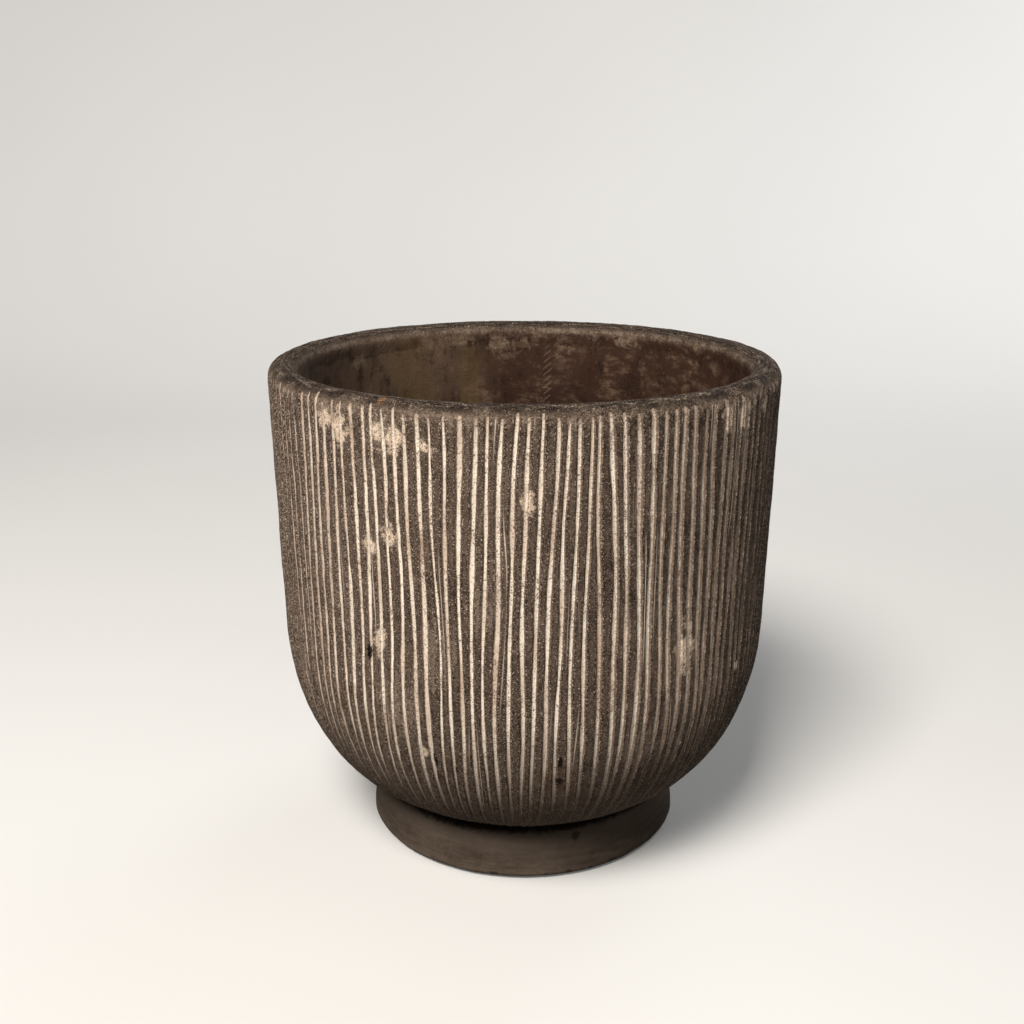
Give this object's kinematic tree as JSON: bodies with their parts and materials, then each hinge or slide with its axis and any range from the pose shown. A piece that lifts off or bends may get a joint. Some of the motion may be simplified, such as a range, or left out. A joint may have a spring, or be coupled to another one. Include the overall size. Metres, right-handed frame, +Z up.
{
  "type": "flower pot",
  "caption": "Round footed flower pot: a cast bowl under a dark coat scored with upright hand-drawn lines, sealed inside, on a separate foot ring, with a lift-out drain stopper.",
  "frame": {"origin": "on the surface the pot stands on, under the middle of the pot", "axes": "+Z up along the pot's axis; -Y is the side that the picture shows"},
  "size_m": [0.16, 0.16, 0.157],
  "materials": {
    "pale_cast": "matte",
    "dark_coat": "matte",
    "brown_seal": "satin",
    "dark_cast": "matte",
    "mortar": "matte",
    "felt": "matte",
    "rubber": "matte"
  },
  "bodies": {
    "pot": {"cast_bowl": "pale_cast", "scored_coat": "dark_coat", "waterproof_coat": "brown_seal", "foot_ring": "dark_cast", "mortar_bed": "mortar", "felt_pad_1": "felt", "felt_pad_2": "felt", "felt_pad_3": "felt", "felt_pad_4": "felt"},
    "stopper": {"drain_stopper": "rubber"}
  },
  "joints": [
    {"name": "stopper_lift", "type": "slide", "parent": "pot", "child": "stopper", "axis": [0, 0, 1], "range_m": [0, 0.15]}
  ]
}
